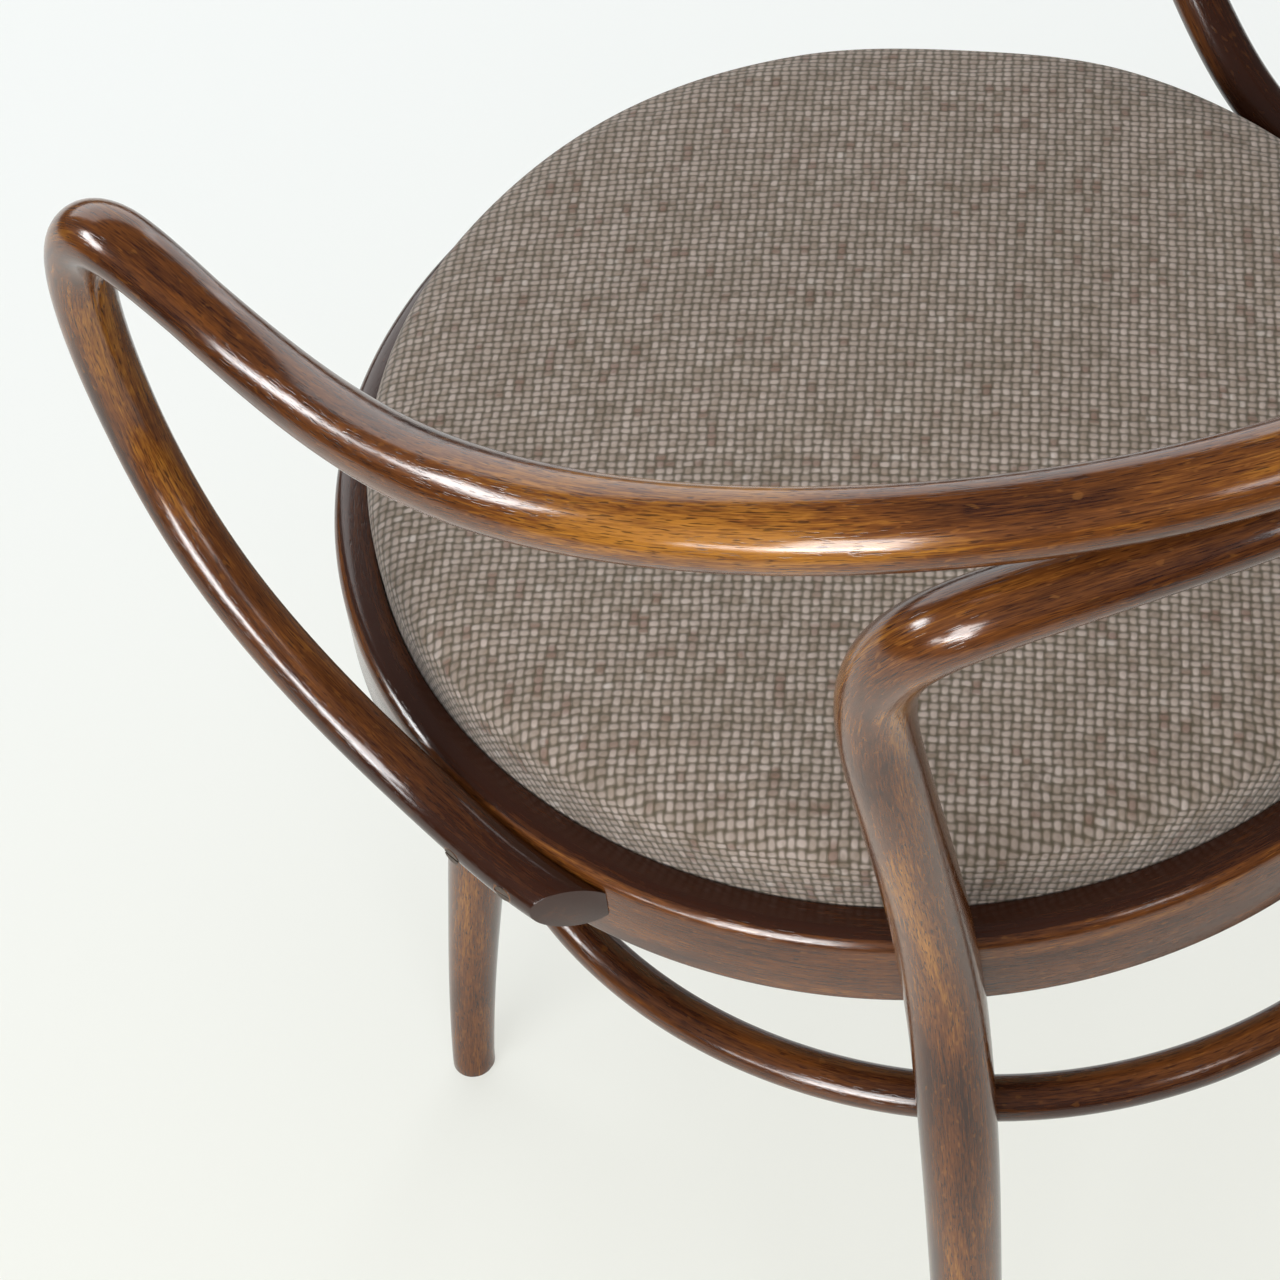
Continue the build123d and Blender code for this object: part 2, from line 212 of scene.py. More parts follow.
rod_tree, rod_keys = new_tree(
    "bent rod",
    [("Sides", "NodeSocketInt", 48), ("Wood", "NodeSocketMaterial", None)],
)
rod_in = node_in(rod_tree, "NodeGroupInput")
rod_out = node_in(rod_tree, "NodeGroupOutput")
to_curve = node_in(rod_tree, "GeometryNodeMeshToCurve")
radius_name, straight_name = {"Name": "rod_radius"}, {"Name": "straight_rod"}
thickness = node_in(rod_tree, "GeometryNodeInputNamedAttribute", radius_name, data_type="FLOAT")
set_radius = node_in(rod_tree, "GeometryNodeSetCurveRadius")
along = node_in(rod_tree, "GeometryNodeSplineParameter")
keep_along = node_in(rod_tree, "GeometryNodeCaptureAttribute")
keep_along.capture_items.new("FLOAT", "along")
keep_along.capture_items.new("FLOAT", "thick")
circle = node_in(rod_tree, "GeometryNodeCurvePrimitiveCircle", {"Radius": 1.0})
spot = node_in(rod_tree, "GeometryNodeInputPosition")
keep_round = node_in(rod_tree, "GeometryNodeCaptureAttribute")
keep_round.capture_items.new("VECTOR", "round")
sweep = node_in(rod_tree, "GeometryNodeCurveToMesh", {"Fill Caps": True})
across = node_in(rod_tree, "ShaderNodeVectorMath", operation="SCALE")
split = node_in(rod_tree, "ShaderNodeSeparateXYZ")
straight = node_in(rod_tree, "ShaderNodeCombineXYZ")
write = node_in(
    rod_tree, "GeometryNodeStoreNamedAttribute", straight_name, data_type="FLOAT_VECTOR", domain="POINT"
)
realize = node_in(rod_tree, "GeometryNodeRealizeInstances")
paint = node_in(rod_tree, "GeometryNodeSetMaterial")
rod_links = [
    (rod_in, "Geometry", to_curve, "Mesh"),
    (to_curve, "Curve", set_radius, "Curve"),
    (thickness, "Attribute", set_radius, "Radius"),
    (set_radius, "Curve", keep_along, "Geometry"),
    (along, "Length", keep_along, "along"),
    (thickness, "Attribute", keep_along, "thick"),
    (rod_in, "Sides", circle, "Resolution"),
    (circle, "Curve", keep_round, "Geometry"),
    (spot, "Position", keep_round, "round"),
    (keep_along, "Geometry", sweep, "Curve"),
    (keep_round, "Geometry", sweep, "Profile Curve"),
    (keep_round, "round", across, 0),
    (keep_along, "thick", across, "Scale"),
    (across, "Vector", split, "Vector"),
    (split, "X", straight, "X"),
    (split, "Y", straight, "Y"),
    (keep_along, "along", straight, "Z"),
    (sweep, "Mesh", write, "Geometry"),
    (straight, "Vector", write, "Value"),
    (write, "Geometry", realize, "Geometry"),
    (realize, "Geometry", paint, "Geometry"),
    (rod_in, "Wood", paint, "Material"),
    (paint, "Geometry", rod_out, "Geometry"),
]
if "Scale" in sweep.inputs:
    rod_links.append((thickness, "Attribute", sweep, "Scale"))
for source, output, target, entry in rod_links:
    rod_tree.links.new(source.outputs[output], target.inputs[entry])
print("rod tree nodes:", len(rod_tree.nodes))

# %% [markdown]
# The materials are networks of nodes, and long lists of links hide what a network says. A small
# helper class lets a formula be written as one: each operation on a value adds the node for it.

# %% Writing node formulas


class Value:
    """One output socket of a material's tree, with sums and products that add nodes."""

    def __init__(self, tree, socket):
        self.tree = tree
        self.socket = socket

    def math(self, operation, *others):
        """The result of a math node on this value and the others."""
        node = node_in(self.tree, "ShaderNodeMath", operation=operation)
        for place, item in zip(node.inputs, (self, *others)):
            if isinstance(item, Value):
                self.tree.links.new(item.socket, place)
            else:
                place.default_value = item
        return Value(self.tree, node.outputs[0])

    def __add__(self, other):
        return self.math("ADD", other)

    def __sub__(self, other):
        return self.math("SUBTRACT", other)

    def __mul__(self, other):
        return self.math("MULTIPLY", other)

    def ramp(self, low, high, smooth=True):
        """0 at low and below, 1 at high and above."""
        node = node_in(self.tree, "ShaderNodeMapRange", {"From Min": low, "From Max": high}, clamp=True)
        node.interpolation_type = "SMOOTHSTEP" if smooth else "LINEAR"
        self.tree.links.new(self.socket, node.inputs["Value"])
        return Value(self.tree, node.outputs["Result"])


def noise(tree, vector, scale, detail=2.0, rough=0.5, distort=0.0, output="Fac"):
    """Noise on a vector socket."""
    values = {"Scale": scale, "Detail": detail, "Roughness": rough, "Distortion": distort}
    node = node_in(tree, "ShaderNodeTexNoise", values)
    tree.links.new(vector, node.inputs["Vector"])
    return Value(tree, node.outputs[output])


def stretched(tree, vector, x, y, z):
    """The vector with each axis scaled by itself."""
    node = node_in(tree, "ShaderNodeMapping", {"Scale": (x, y, z)})
    tree.links.new(vector, node.inputs["Vector"])
    return node.outputs["Vector"]


def mixed(tree, factor, low, high):
    """A colour between two colours, each a colour or a socket."""
    node = node_in(tree, "ShaderNodeMix", data_type="RGBA")
    tree.links.new(factor.socket, node.inputs["Factor"])
    sockets = [s for s in node.inputs if s.type == "RGBA"]
    for place, item in zip(sockets, (low, high)):
        if isinstance(item, tuple):
            place.default_value = (*item, 1.0)
        else:
            tree.links.new(item, place)
    return [s for s in node.outputs if s.type == "RGBA"][0]


def new_material(name):
    """A material with one Principled shader."""
    material = bpy.data.materials.new(name)
    material.use_nodes = True
    tree = material.node_tree
    tree.nodes.clear()
    shader = node_in(tree, "ShaderNodeBsdfPrincipled")
    out = node_in(tree, "ShaderNodeOutputMaterial")
    tree.links.new(shader.outputs["BSDF"], out.inputs["Surface"])
    return material, tree, shader


def bump(tree, shader, height, distance, strength, layer="Normal"):
    """Raise the shader's surface, or its coat, by a height value."""
    node = node_in(tree, "ShaderNodeBump", {"Strength": strength, "Distance": distance})
    tree.links.new(height.socket, node.inputs["Height"])
    tree.links.new(node.outputs["Normal"], shader.inputs[layer])


# %% [markdown]
# The wood is beech, stained dark and lacquered. Beech has a fine straight grain with short dark
# pores and small bright flecks. The stain lies unevenly, so honey shows through in long patches.
# The grain is noise that is stretched about twenty times along the straight rod. How dark the wood
# is at each place is written on a rod as an attribute when the rod is made. That darkness is partly
# the stain's own unevenness and partly painted shade, where less light reaches a part of the chair.
# The gloss lacquer, which does not quite fill the pores, is the shader's coat, and the wood under it
# has no gloss of its own.

# %% Stained beech


def stained_beech():
    """Dark stained beech under gloss lacquer, on straight-rod coordinates."""
    material, tree, shader = new_material("stained_beech")
    rod = node_in(tree, "ShaderNodeAttribute", attribute_name="straight_rod")
    place = rod.outputs["Vector"]
    patch = noise(tree, stretched(tree, place, 58, 58, 9.0), 1.0, 3.0, 0.55, 0.4)
    streak = noise(tree, stretched(tree, place, 760, 760, 34.0), 1.0, 3.0, 0.62)
    fine = noise(tree, stretched(tree, place, 2100, 2100, 140.0), 1.0, 2.0, 0.6)
    pores = noise(tree, stretched(tree, place, 2400, 2400, 210.0), 1.0, 0.0).ramp(0.60, 0.74)
    flecks = noise(tree, stretched(tree, place, 620, 620, 230.0), 1.0, 0.0).ramp(0.71, 0.80)
    # How dark the wood is here: the stain's unevenness plus painted shade where less light reaches the
    # rod.
    stain_and_shade_on_rod = node_in(tree, "ShaderNodeAttribute", attribute_name="rod_stain_and_shade")
    stain_and_shade = Value(tree, stain_and_shade_on_rod.outputs["Fac"])
    figure = patch * 1.0 + streak * 0.42 + fine * 0.5 - 0.96
    tone = figure * (stain_and_shade * -0.45 + 1.0) + (stain_and_shade * -0.34 + 1.0)
    deep, brown, amber = (0.028, 0.0080, 0.0035), (0.120, 0.038, 0.0080), (0.320, 0.130, 0.017)
    fleck_colour, pore_colour = (0.30, 0.120, 0.022), (0.022, 0.008, 0.004)
    colour = mixed(tree, tone.ramp(0.66, 0.88, False), deep, brown)
    colour = mixed(tree, tone.ramp(0.88, 1.10, False), colour, amber)
    colour = mixed(tree, flecks * (stain_and_shade * -0.35 + 0.4), colour, fleck_colour)
    colour = mixed(tree, pores * 0.7, colour, pore_colour)
    tree.links.new(colour, shader.inputs["Base Color"])
    tree.links.new((fine * 0.16 + 0.26).socket, shader.inputs["Roughness"])
    lacquer = {"Coat Weight": 1.0, "Coat Roughness": 0.16, "Coat IOR": 1.5}
    set_values(shader, {"Specular IOR Level": 0.0, **lacquer})
    grain = streak * 0.5 + fine * 0.4 - pores * 0.6
    bump(tree, shader, grain, 0.00010, 0.8)
    bump(tree, shader, grain, 0.00006, 0.5, "Coat Normal")
    return material


wood = stained_beech()
print("wood nodes:", len(wood.node_tree.nodes))

# %% [markdown]
# Where a rod meets the ring or the hoop, the joiner cuts a shallow seat into it. On a fine mesh that
# is a simple move: each point that lies inside the ring or the hoop is pushed out to its surface.

# %% Helpers for the joints in the wood


def points_of(mesh):
    """The mesh's points as an array."""
    flat = np.empty(len(mesh.vertices) * 3)
    mesh.vertices.foreach_get("co", flat)
    return flat.reshape(-1, 3)


def move_points(mesh, points):
    """Put the mesh's points where the array says."""
    mesh.vertices.foreach_set("co", points.ravel())
    mesh.update()


def push_out(mesh, axis_y, rule):
    """Push points away from an upright axis; the rule says which, and how far out they go."""
    points = points_of(mesh)
    centre = np.array((0, axis_y))
    offset = points[:, :2] - centre
    distance = np.linalg.norm(offset, axis=1)
    inside, limit = rule(distance, points[:, 2])
    stretch = limit[inside] / distance[inside]
    points[inside, :2] = centre + offset[inside] * stretch[:, None]
    move_points(mesh, points)
    return int(inside.sum())


def in_ring(distance, height):
    """Which points lie inside the seat ring, and how far out its surface is."""
    limit = np.full(len(distance), ring_radius + glue_gap)
    low, high = seat_height - ring_height - glue_gap, seat_height + glue_gap
    return (distance < limit) & (height > low) & (height < high), limit


def in_hoop(distance, height):
    """Which points lie inside the hoop, and how far out its surface is."""
    out, up, reach = distance - hoop_radius, height - hoop_height, hoop_rod + glue_gap
    limit = hoop_radius + np.sqrt(np.maximum(reach ** 2 - up ** 2, 0))
    return np.hypot(out, up) < reach, limit


def soften_rims(mesh, width):
    """Round the rims of the large end faces of a rod."""
    shape = bmesh.new()
    shape.from_mesh(mesh)
    ends = [face for face in shape.faces if len(face.verts) > 8]
    rims = list({edge for face in ends for edge in face.edges})
    bmesh.ops.bevel(
        shape, geom=rims, offset=width, segments=3, profile=0.5, affect="EDGES", clamp_overlap=True
    )
    for face in shape.faces:
        face.smooth = True
    shape.to_mesh(mesh)
    shape.free()
    mesh.set_sharp_from_angle(angle=radians(50))


def bent_rod(name, places, sizes, stain_and_shade_pairs, step=0.004, sides=48, closed=False):
    """A rod swept along the places, darkened as (run from the middle, darkness): stained wood plus
    painted shade.
    """
    if closed:
        points, at = np.array(places), np.zeros(len(places))
        radii = np.full(len(places), sizes[0] / 2)
    else:
        points, at, params = smooth_route(places, step)
        radii = np.interp(at, params, np.array(sizes) / 2)
    stain_and_shade = np.interp(np.abs(at - at[-1] / 2), *zip(*stain_and_shade_pairs))
    count = len(points)
    edges = [(i, i + 1) for i in range(count - 1)] + ([(count - 1, 0)] if closed else [])
    line = bpy.data.meshes.new(name)
    line.from_pydata([tuple(p) for p in points], edges, [])
    line.attributes.new("rod_radius", "FLOAT", "POINT").data.foreach_set("value", radii)
    line.attributes.new("rod_stain_and_shade", "FLOAT", "POINT").data.foreach_set("value", stain_and_shade)
    rod = add_object(name, line)
    bake(rod, rod_tree, rod_keys, {"Sides": sides, "Wood": wood})
    print(name, "faces:", len(rod.data.polygons))
    return rod


# %% [markdown]
# The top rail is one rod: from the middle of the back it runs forward as an arm, drops in a loop
# and lies along the ring, where its end is cut on a slant. The same places as in the CAD source are
# given for the left half, with the rod's sizes there, and the right half is their mirror image. The
# darkness is given as pairs: a run from the rod's middle, and how dark the wood is there. It is the
# stain plus painted shade, and it grows towards the tails.

# %% Top rail
rail_tail = 0.021
tail_radius = ring_radius + rail_tail / 2 - ring_let_in
tail_angle, landing_angle = 14.5, -1.5
tail_middle_angle = (landing_angle + tail_angle) / 2
landing_drop, tail_middle_drop, tail_drop = 0.006, 0.010, 0.014
rail_half = [
    from_seat(0, 0.283, 0.740),
    from_seat(0.197, 0.1985, 0.740),
    from_seat(0.249, 0.0715, 0.702),
    from_seat(0.2485, -0.0605, 0.6835),
    from_seat(0.2505, -0.096, 0.690),
    from_seat(0.2445, -0.130, 0.575),
    from_seat(0.2435, -0.094, 0.514),
    round_seat(tail_radius, landing_angle, seat_height - landing_drop),
    round_seat(tail_radius, tail_middle_angle, seat_height - tail_middle_drop),
    round_seat(tail_radius, tail_angle, seat_height - tail_drop),
    round_seat(tail_radius, 2 * tail_angle - tail_middle_angle, seat_height - tail_drop),
]
rail_half_sizes = [back_rod, back_rod, 0.0245, 0.022, 0.0235, 0.0204, 0.0204] + [rail_tail] * 4
# Run from the middle and darkness: the stain plus painted shade, darkest towards the tails.
rail_stain_and_shade = [
    (0.00, 0.28), (0.18, 0.46), (0.25, 0.14), (0.30, 0.18), (0.38, 0.50), (0.46, 0.72), (0.51, 0.58),
    (0.55, 0.36), (0.59, 0.24), (0.66, 0.40), (0.72, 0.66), (0.80, 0.92), (0.90, 1.15),
]
top_rail = bent_rod("bent_top_rail", whole_rod(rail_half), mirrored(rail_half_sizes), rail_stain_and_shade)
seated = push_out(top_rail.data, seat_y, in_ring)

# %% [markdown]
# The slanted cut is a bisecting plane on each side. The rim of the new face is then rounded, as a
# joiner's glass paper leaves it.

# %% Slanted ends of the loops
bevel_length, tail_rim = 0.024, 0.0028
tail_reach, tail_top = 0.09, 0.48


def cut_tails(mesh):
    """Cut both loop ends on a slant that runs down to the ring."""
    shape = bmesh.new()
    shape.from_mesh(mesh)
    slant = radians(tail_angle) - atan2(bevel_length, rail_tail)
    for side in (1, -1):
        tip = Vector(round_seat(ring_radius, tail_angle, 0))
        tip.x *= side
        away = Vector((-sin(slant) * side, cos(slant), 0))
        near = [v for v in shape.verts if (v.co - tip).xy.length < tail_reach and v.co.z < tail_top]
        faces = list({f for v in near for f in v.link_faces})
        edges = list({e for f in faces for e in f.edges})
        cut = bmesh.ops.bisect_plane(
            shape, geom=near + edges + faces, plane_co=tip, plane_no=away, clear_outer=True
        )
        rim = [item for item in cut["geom_cut"] if isinstance(item, bmesh.types.BMEdge)]
        bmesh.ops.contextual_create(shape, geom=rim)
    shape.to_mesh(mesh)
    shape.free()


cut_tails(top_rail.data)
soften_rims(top_rail.data, tail_rim)
print("points seated on the ring:", seated)

# %% [markdown]
# The rear bow is the second long rod. Its middle lies under the top rail, so those places are found
# by running along the rail and going down. It then turns down through two elbows, and its ends are
# the rear legs.

# %% Rear bow
rail_points = smooth_route(whole_rod(rail_half), 0.001)[0]
left_rail = rail_points[len(rail_points) // 2:]
rail_steps = np.linalg.norm(np.diff(left_rail, axis=0), axis=1)
rail_run = np.concatenate(([0], np.cumsum(rail_steps)))
lower_rail, rod_gap, touch_run = 0.019, 0.0004, 0.096
under_rail = np.array((0, 0, (back_rod + lower_rail) / 2 + rod_gap))


def under(run):
    """A place under the top rail, at a run from the middle of the back."""
    return np.array([np.interp(run, rail_run, left_rail[:, axis]) for axis in range(3)]) - under_rail


rear_leg, rear_leg_angle, rear_hoop_angle = 0.0282, 46, 40
rear_hoop = round_hoop(hoop_radius + hoop_rod + rear_leg / 2 - hoop_let_in, rear_hoop_angle)
rear_foot = round_seat(0.256, 47.5, 0)
bow_half = [under(touch_run * share) for share in (0, 1 / 3, 2 / 3, 1)] + [
    from_seat(0.1685, 0.2265, 0.713),
    from_seat(0.192, 0.209, 0.7045),
    from_seat(0.1985, 0.181, 0.659),
    from_seat(0.1895, 0.173, 0.599),
    round_seat(ring_radius + rear_leg / 2 - ring_let_in, rear_leg_angle, seat_height - ring_height / 2),
    rear_hoop,
    (rear_hoop * 2 + rear_foot) / 3,
    (rear_hoop + rear_foot * 2) / 3,
    rear_foot,
]
bow_half_sizes = [lower_rail] * 4 + [0.023, 0.024, 0.024, 0.0254]
bow_half_sizes += [rear_leg, rear_leg, 0.0265, 0.0247, 0.023]
# Darkest along the middle, which runs under the top rail: painted shade on top of the stain.
bow_stain_and_shade = [
    (0.00, 0.75), (0.12, 0.62), (0.19, 0.45), (0.23, 0.34), (0.28, 0.30), (0.36, 0.34), (0.55, 0.48),
]
rear_bow = bent_rod("bent_rear_bow", whole_rod(bow_half), mirrored(bow_half_sizes), bow_stain_and_shade)
on_ring, on_hoop = push_out(rear_bow.data, seat_y, in_ring), push_out(rear_bow.data, hoop_y, in_hoop)
print("points seated on the ring and the hoop:", on_ring, on_hoop)

# %% [markdown]
# A rod's end is square to its route, but a foot stands flat. The lowest ring of points is pressed
# to the floor and its rim gets a small round. A front leg's top is pressed to the ring's underside
# in the same way.

# %% Flat feet
end_zone = 0.004
rear_foot_rim, front_leg_rim = 0.0012, 0.001


def flatten_feet(mesh):
    """Press what lies near the floor flat onto it."""
    points = points_of(mesh)
    points[points[:, 2] < end_zone, 2] = 0.0
    move_points(mesh, points)


def flatten_top(mesh, height):
    """Press what lies near the height, or above it, flat onto it."""
    points = points_of(mesh)
    points[points[:, 2] > height - end_zone, 2] = height
    move_points(mesh, points)


flatten_feet(rear_bow.data)
soften_rims(rear_bow.data, rear_foot_rim)
print("lowest point of the rear legs:", points_of(rear_bow.data)[:, 2].min())

# %% [markdown]
# The front legs are turned, slightly bowed and thinner at the foot. One is swept, and the other is
# its mirror image, so both come from the same places.

# %% Front legs
front_leg, front_leg_stain = 0.029, 0.5
front_inset, front_hoop_angle = 0.025, -53
ring_bottom = seat_height - ring_height
front_places = [
    round_seat(ring_radius - front_inset, -46.5, ring_bottom),
    round_hoop(hoop_radius + hoop_rod + front_leg / 2 - hoop_let_in, front_hoop_angle),
    round_seat(0.204, -51, 0.150),
    round_seat(0.2225, -49.5, 0),
]
front_sizes = [front_leg, front_leg, 0.0255, 0.020]
front_legs = {}
for name, side in (("turned_front_leg_left", 1), ("turned_front_leg_right", -1)):
    places = [place * np.array((side, 1, 1)) for place in front_places]
    leg = bent_rod(name, places, front_sizes, [(0.0, front_leg_stain)])
    push_out(leg.data, hoop_y, in_hoop)
    flatten_feet(leg.data)
    flatten_top(leg.data, ring_bottom)
    soften_rims(leg.data, front_leg_rim)
    front_legs[side] = leg

# %% [markdown]
# The hoop is a rod bent to a full circle. The same tree sweeps it, along a closed route.

# %% Lower hoop
hoop_steps, hoop_stain = 360, 0.74
hoop_places = [round_hoop(hoop_radius, -90 + i * 360 / hoop_steps) for i in range(hoop_steps)]
hoop = bent_rod("bent_hoop", hoop_places, [2 * hoop_rod], [(0.0, hoop_stain)], closed=True)
for face in hoop.data.polygons:
    face.use_smooth = True

# %% [markdown]
# The seat ring is a flat strip bent to a circle, with a rebate for the pad and a rounded outer edge,
# which is where its long bright highlight lies. Its profile is turned about the seat's axis. The
# places in the straight strip and the darkness are written on it, as the tree does for the rods: the
# top beside the pad is darker than the outer face, which is the stain plus painted shade from the pad.

# %% Seat ring
# The ring's top is darker than its face: the stain plus painted shade beside the pad.
ring_face_stain, ring_top_stain_and_shade, ring_face_depth = 0.62, 1.1, 0.003
bottom_round, top_round, rebate_round, inner_round = 0.002, 0.007, 0.0008, 0.001


def corner(centre, radius, start, end, steps):
    """Points on a rounded corner of the ring's profile."""
    return [
        (centre[0] + radius * cos(radians(a)), centre[1] + radius * sin(radians(a)))
        for a in np.linspace(start, end, steps)
    ]


def ring_outline():
    """The ring's profile as (radius, height) pairs, round from its outer bottom edge."""
    inner, rebate = ring_radius - ring_width, ring_radius - rim_width
    ledge = seat_height - rebate_depth
    outline = corner((ring_radius - bottom_round, ring_bottom + bottom_round), bottom_round, -90, 0, 5)
    outline += corner((ring_radius - top_round, seat_height - top_round), top_round, 0, 90, 12)
    outline += corner((rebate + rebate_round, seat_height - rebate_round), rebate_round, 90, 180, 4)
    outline += [(rebate, ledge), (inner + inner_round, ledge), (inner, ledge - inner_round)]
    return outline + corner((inner + inner_round, ring_bottom + inner_round), inner_round, 180, 270, 4)


def seat_ring_mesh(segments=320):
    """The profile turned about the seat's axis, with its straight-strip places written down."""
    outline = ring_outline()
    verts, faces, strip, stain_and_shade = [], [], [], []
    for i in range(segments):
        turn = 2 * pi * i / segments - pi / 2
        for radius, height in outline:
            verts.append((radius * cos(turn), seat_y + radius * sin(turn), height))
            strip.append((radius - ring_radius, height - seat_height, (turn + pi / 2) * ring_radius))
            on_face = radius > ring_radius - ring_face_depth
            stain_and_shade.append(ring_face_stain if on_face else ring_top_stain_and_shade)
    size = len(outline)
    for i in range(segments):
        for j in range(size):
            a, b = i * size + j, i * size + (j + 1) % size
            c, d = ((i + 1) % segments) * size + (j + 1) % size, ((i + 1) % segments) * size + j
            faces.append((a, d, c, b))
    mesh = bpy.data.meshes.new("bent_seat_ring")
    mesh.from_pydata(verts, [], faces)
    straight_strip = mesh.attributes.new("straight_rod", "FLOAT_VECTOR", "POINT")
    straight_strip.data.foreach_set("vector", np.array(strip).ravel())
    mesh.attributes.new("rod_stain_and_shade", "FLOAT", "POINT").data.foreach_set("value", stain_and_shade)
    shape = bmesh.new()
    shape.from_mesh(mesh)
    bmesh.ops.recalc_face_normals(shape, faces=shape.faces)
    for face in shape.faces:
        face.smooth = True
    shape.to_mesh(mesh)
    shape.free()
    mesh.set_sharp_from_angle(angle=radians(35))
    mesh.materials.append(wood)
    return mesh


ring = add_object("bent_seat_ring", seat_ring_mesh())
print("ring faces:", len(ring.data.polygons))

# %% [markdown]
# The screw heads sit in shallow holes. The holes are cut with one Boolean per wood piece, from a
# single cutter that holds a short cylinder at every head.

# %% Screw holes
hole_radius, hole_depth, hole_lift = 0.0036, 0.0052, 0.0025


def hole_cutter(places):
    """One mesh with a short cylinder at each screw head, along the screw."""
    shape = bmesh.new()
    lift = Matrix.Translation((0, 0, -hole_lift))
    for place, way in places:
        turn = Vector(way).to_track_quat("Z", "Y").to_matrix().to_4x4()
        bmesh.ops.create_cone(
            shape, cap_ends=True, segments=24, radius1=hole_radius, radius2=hole_radius,
            depth=hole_depth, matrix=Matrix.Translation(Vector(place)) @ turn @ lift,
        )
    mesh = bpy.data.meshes.new("hole_cutter")
    shape.to_mesh(mesh)
    shape.free()
    return add_object("hole_cutter", mesh)


def level(angle):
    """A level direction away from an axis."""
    return np.array((cos(radians(angle)), sin(radians(angle)), 0))


sink, back_screw_run = 0.0003, 0.07
arm_screw_angles = (0.5, 6.5)
flip, upward = np.array((-1, 1, 1)), np.array((0, 0, 1))
rail_drop = upward * (lower_rail / 2 - sink)
tail_outer = tail_radius + rail_tail / 2 - sink
leg_spot = round_seat(ring_radius - ring_width + sink, rear_leg_angle, seat_height - ring_height / 2)
heads = []
for angle in arm_screw_angles:
    heads.append((round_seat(tail_outer, angle, seat_height - tail_middle_drop), -level(angle)))
heads.append((leg_spot, level(rear_leg_angle)))
for angle in (rear_hoop_angle, front_hoop_angle):
    heads.append((round_hoop(hoop_radius - hoop_rod + sink, angle), level(angle)))
heads.append((under(back_screw_run) - rail_drop, upward))
heads += [(place * flip, way * flip) for place, way in heads]
heads.append((under(0) - rail_drop, upward))
ledge_middle = ring_radius - (ring_width + rim_width) / 2
heads += [(round_seat(ledge_middle, a, ring_bottom + sink), upward) for a in (0, 90, 180, 270)]
cutter = hole_cutter(heads)
for piece in (top_rail, rear_bow, hoop, ring):
    modifier = piece.modifiers.new("holes", "BOOLEAN")
    modifier.operation = "DIFFERENCE"
    modifier.solver = "EXACT"
    modifier.object = cutter
    apply_modifiers(piece)
    print(piece.name, "faces after drilling:", len(piece.data.polygons))
bpy.data.objects.remove(cutter)

# %% [markdown]
# The pad is foam on a board under a coarse woven cover. The cover is drawn down into the rebate and
# round the board's edge, and its hem lies under the board. The pad starts as a turned profile with
# its crown and with room for the board, a little smaller than it is when filled. It isn't quite
# round: each bulge is given by its direction and half width in degrees and by its size, and a
# negative size draws the pad in.

# %% Pad shape before it is filled
pad_clearance, tuck_depth = 0.0004, 0.001
pad_radius = ring_radius - rim_width - pad_clearance
pad_bottom = seat_height - rebate_depth
crown_rise, rim_rise, side_rise = 0.042, 0.031, 0.014
rim_inset, rim_start, overhang = 0.0165, 82, 0.0025
pad_swell = 0.002
board_thickness, cover_thickness, hem_width = 0.009, 0.0016, 0.037
pad_bulges = ((256, 28, 0.0022), (217, 20, -0.0038))


def pad_bulge(turn):
    """How far the pad departs from a circle in one direction."""
    total = 0.0
    for middle_way, half_width, size in pad_bulges:
        off = abs((turn - radians(middle_way) + pi) % (2 * pi) - pi)
        if off < radians(half_width):
            total += size * cos(off / radians(half_width) * pi / 2) ** 2
    return total


def under_pad(near=0.002):
    """The hem under the board and the room for the board, with points near the edges to keep them."""
    hem_edge, board_edge = pad_radius - hem_width, pad_radius - cover_thickness
    board_bottom = pad_bottom + cover_thickness
    board_top = board_bottom + board_thickness
    hem = [(pad_radius, pad_bottom + near), (pad_radius, pad_bottom), (pad_radius - near, pad_bottom)]
    hem += [(hem_edge + near, pad_bottom), (hem_edge, pad_bottom), (hem_edge, board_bottom)]
    room = [(hem_edge + near, board_bottom), (board_edge - near, board_bottom)]
    room += [(board_edge, board_bottom), (board_edge, board_top)]
    return hem + room + [(board_edge - near, board_top), (0, board_top)]


def pad_profile():
    """The pad's outline from the middle of its top to the middle of its bottom, not yet swelled."""
    rim = pad_radius - rim_inset
    points = []
    for share in np.linspace(0, 1, 34):
        height = seat_height + crown_rise - (crown_rise - rim_rise) * share ** 2 - pad_swell
        points.append((rim * share, height))
    out, up = pad_radius + overhang - pad_swell - rim, rim_rise - side_rise - pad_swell
    for degrees in np.linspace(rim_start, 0, 9):
        turn = radians(degrees)
        points.append((rim + out * cos(turn), seat_height + side_rise + up * sin(turn)))
    for share in (0.3, 0.6, 0.85):
        reach = pad_radius + (overhang - pad_swell) * (1 - share ** 2)
        points.append((reach, seat_height + side_rise * (1 - share)))
    points.append((pad_radius, seat_height - tuck_depth))
    return points + under_pad()


